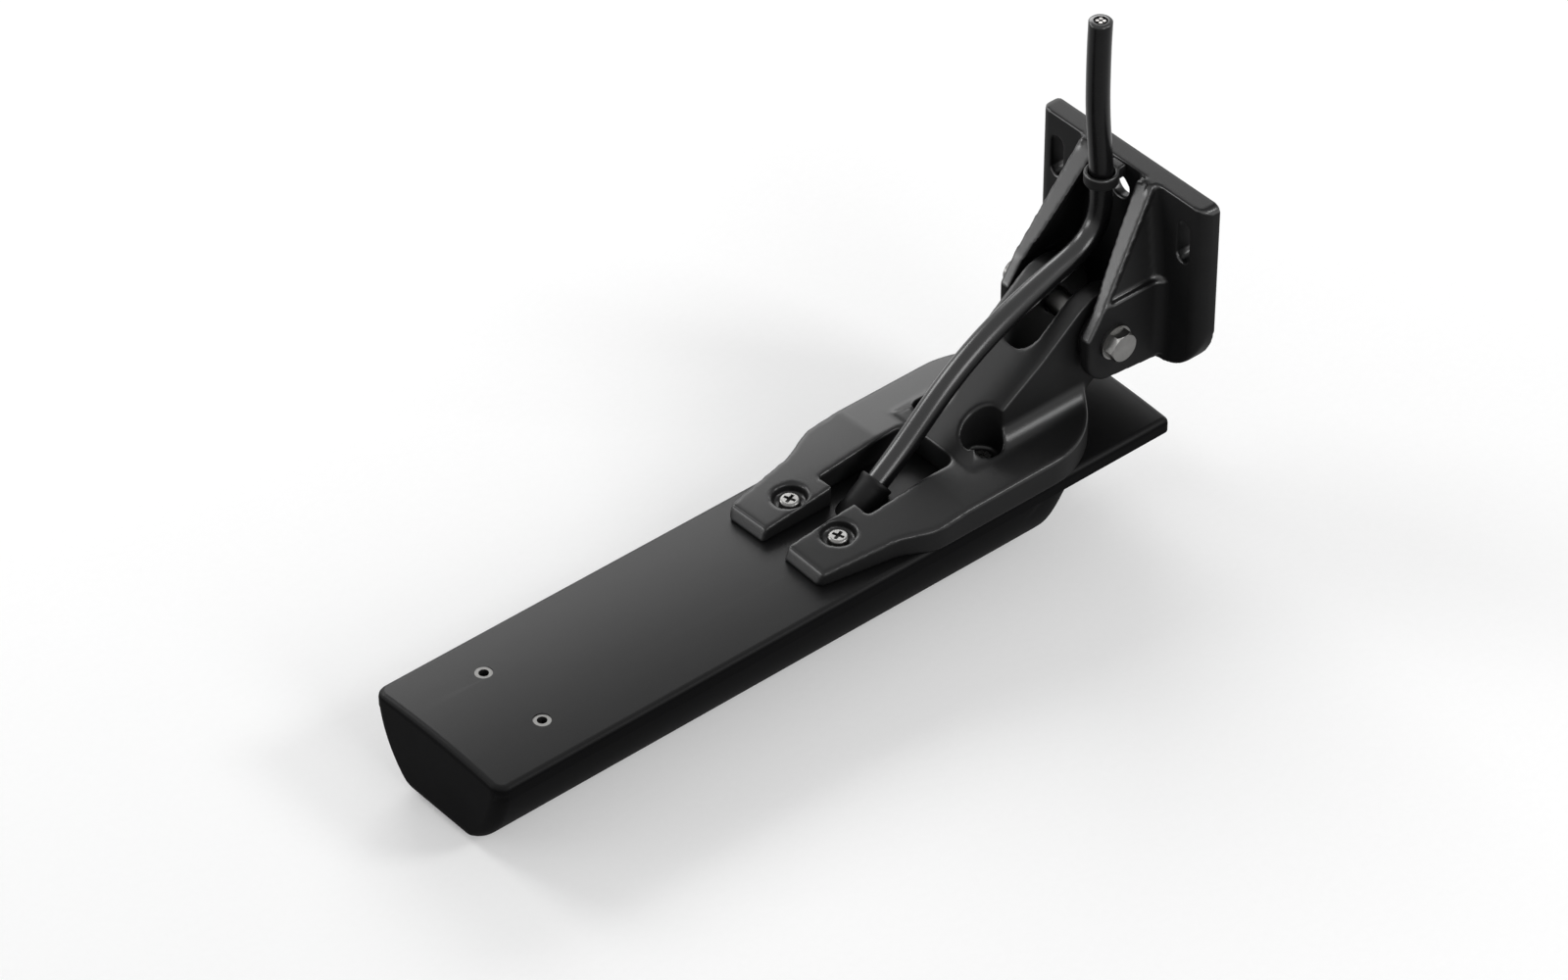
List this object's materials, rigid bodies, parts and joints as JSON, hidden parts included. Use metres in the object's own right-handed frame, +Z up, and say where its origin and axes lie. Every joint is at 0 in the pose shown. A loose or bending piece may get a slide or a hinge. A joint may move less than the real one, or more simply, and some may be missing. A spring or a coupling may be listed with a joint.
{
  "type": "sonar transducer",
  "caption": "Long flat-topped sonar transducer body on a saddle with a tilting transom bracket and a rising cable.",
  "frame": {"origin": "middle of the bracket's transom face", "axes": "+X out of the transom face towards the boat, +Z up, +Y to port"},
  "size_m": [0.296, 0.0794, 0.1806],
  "materials": {
    "body_plastic": "satin",
    "mount_plastic": "satin",
    "cable_jacket": "satin",
    "stainless": "satin",
    "brass": "satin",
    "copper": "satin",
    "ceramic": "matte",
    "backing": "matte",
    "carrier": "matte",
    "board": "satin",
    "chips": "matte"
  },
  "bodies": {
    "bracket": {"transom_bracket": "mount_plastic", "pivot_bolt": "stainless", "pivot_nut": "stainless", "pivot_washers": "stainless", "pivot_sleeve": "stainless", "cable_clip": "mount_plastic"},
    "transducer": {"hull": "body_plastic", "top_cover": "body_plastic", "accessory_inserts": "stainless", "saddle_mount": "mount_plastic", "mount_screws": "stainless", "ratchet_discs": "mount_plastic", "strain_relief": "cable_jacket", "cable": "cable_jacket", "mount_inserts": "brass", "round_element": "ceramic", "round_backing": "backing", "down_element": "ceramic", "down_backing": "backing", "left_element": "ceramic", "left_backing": "backing", "right_element": "ceramic", "right_backing": "backing", "element_carrier": "carrier", "board_standoffs": "brass", "circuit_board": "board", "board_chips": "chips", "cable_cores": "copper", "temperature_sensor": "stainless"}
  },
  "joints": [
    {"name": "tilt", "type": "hinge", "parent": "bracket", "child": "transducer", "pos_m": [-0.0285, 0, -0.01675], "axis": [0, 1, 0], "range_deg": [-12, 45], "deforming": ["cable"]}
  ]
}
